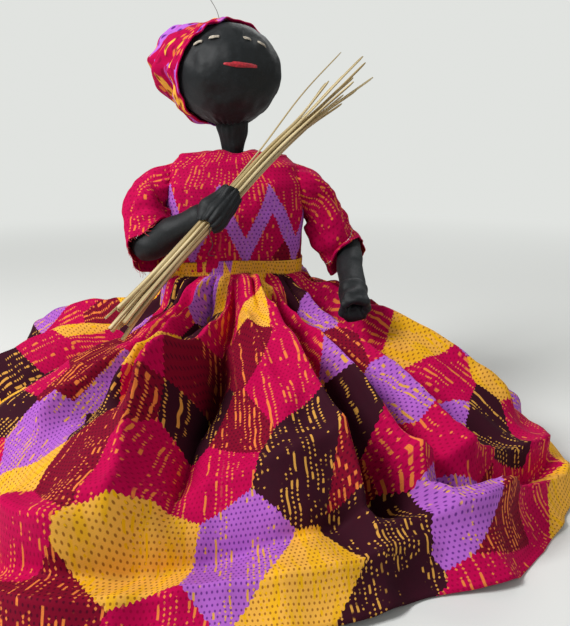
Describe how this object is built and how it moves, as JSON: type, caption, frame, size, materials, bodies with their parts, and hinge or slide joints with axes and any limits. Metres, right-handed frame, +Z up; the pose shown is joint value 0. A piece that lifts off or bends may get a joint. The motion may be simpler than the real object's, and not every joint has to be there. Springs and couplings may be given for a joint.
{
  "type": "cloth doll",
  "caption": "Stuffed cloth doll in a wide printed dress and head-wrap, holding a bundle of straws as a broom; head, arms and legs move at their seams.",
  "frame": {"origin": "on the table, in the middle of the box round the spread skirt", "axes": "+Z up; the doll looks along -Y; +X is the doll's left side"},
  "size_m": [0.4548, 0.472, 0.3006],
  "materials": {
    "black_cloth": "plain black cotton, stuffed and sewn",
    "dress_print": "cotton print in crimson, maroon, violet and gold",
    "eye_thread": "cream embroidery thread",
    "mouth_thread": "red embroidery thread in satin stitch",
    "straw": "dry palm straw"
  },
  "bodies": {
    "body": {"torso": "black_cloth", "bodice": "dress_print", "skirt": "dress_print"},
    "neck": {"neck": "black_cloth"},
    "head": {"head": "black_cloth", "headwrap": "dress_print", "headwrap_bun": "dress_print", "right_eye_outer_stitch": "eye_thread", "right_eye_inner_stitch": "eye_thread", "left_eye_inner_stitch": "eye_thread", "left_eye_outer_stitch": "eye_thread", "mouth_stitch": "mouth_thread"},
    "left_arm": {"left_arm": "black_cloth", "left_hand": "black_cloth", "left_sleeve": "dress_print"},
    "right_arm": {"right_arm": "black_cloth", "right_hand": "black_cloth", "right_sleeve": "dress_print"},
    "broom": {"straw_01": "straw", "straw_02": "straw", "straw_03": "straw", "straw_04": "straw", "straw_05": "straw", "straw_06": "straw", "straw_07": "straw", "straw_08": "straw", "straw_09": "straw", "straw_10": "straw", "straw_11": "straw", "straw_12": "straw", "straw_13": "straw", "straw_14": "straw"},
    "left_leg": {"left_leg": "black_cloth"},
    "right_leg": {"right_leg": "black_cloth"}
  },
  "joints": [
    {"name": "neck_nod", "type": "hinge", "parent": "body", "child": "neck", "pos_m": [0, 0, 0.209], "axis": [1, 0, 0], "range_deg": [-12, 15], "stiffness_Nm_per_rad": 0.15},
    {"name": "head_turn", "type": "hinge", "parent": "neck", "child": "head", "pos_m": [0, 0, 0.232], "axis": [0, 0, 1], "range_deg": [-40, 40], "stiffness_Nm_per_rad": 0.03},
    {"name": "left_shoulder", "type": "hinge", "parent": "body", "child": "left_arm", "pos_m": [0.0551, 0, 0.189], "axis": [-1, 0, 0], "range_deg": [0, 50]},
    {"name": "right_shoulder", "type": "hinge", "parent": "body", "child": "right_arm", "pos_m": [-0.0551, 0, 0.189], "axis": [-1, 0, 0], "range_deg": [0, 25]},
    {"name": "broom_slide", "type": "slide", "parent": "right_arm", "child": "broom", "axis": [0.6707, 0.2703, 0.6907], "range_m": [0, 0.025]},
    {"name": "left_hip", "type": "hinge", "parent": "body", "child": "left_leg", "pos_m": [0.021, 0, 0.094], "axis": [-1, 0, 0], "range_deg": [-25, 40]},
    {"name": "right_hip", "type": "hinge", "parent": "body", "child": "right_leg", "pos_m": [-0.021, 0, 0.094], "axis": [-1, 0, 0], "range_deg": [-25, 40]}
  ]
}
